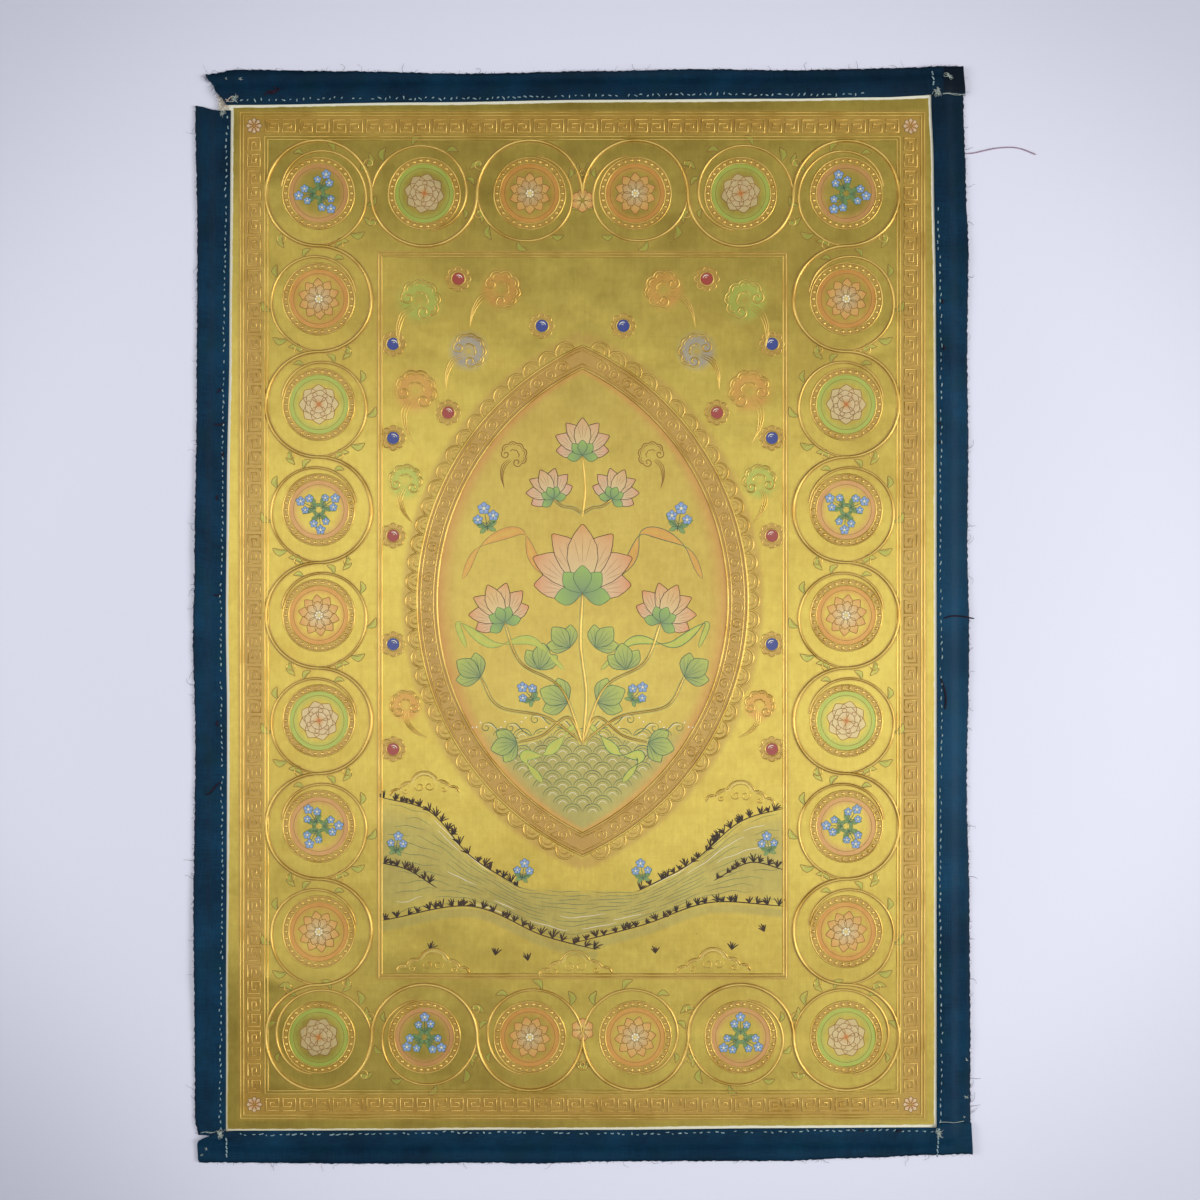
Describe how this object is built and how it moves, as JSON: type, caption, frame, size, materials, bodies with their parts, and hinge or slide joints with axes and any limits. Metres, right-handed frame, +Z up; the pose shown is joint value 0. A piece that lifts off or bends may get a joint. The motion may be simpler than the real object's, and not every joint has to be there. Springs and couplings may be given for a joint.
{
  "type": "unmounted thangka painting lying flat",
  "caption": "Painted cotton canvas with sewn navy cloth strips on its edges, lying flat and face up, with raw frayed outer edges and a loose thread.",
  "frame": {"origin": "centre of the cloth's outline, on the surface that it lies on", "axes": "+X to the picture's right, +Y to the picture's top, +Z up out of the painted face"},
  "size_m": [0.4639, 0.6036, 0.0041],
  "materials": {
    "painted_canvas": "satin gold paint on primed cotton",
    "navy_strip": "matte woven cotton",
    "sewing_thread": "matte cotton thread",
    "purple_thread": "matte thread"
  },
  "bodies": {
    "root": {"canvas_panel": "painted_canvas", "strip_left": "navy_strip", "strip_right": "navy_strip", "strip_top": "navy_strip", "strip_bottom": "navy_strip", "loose_thread": "purple_thread"}
  },
  "joints": []
}
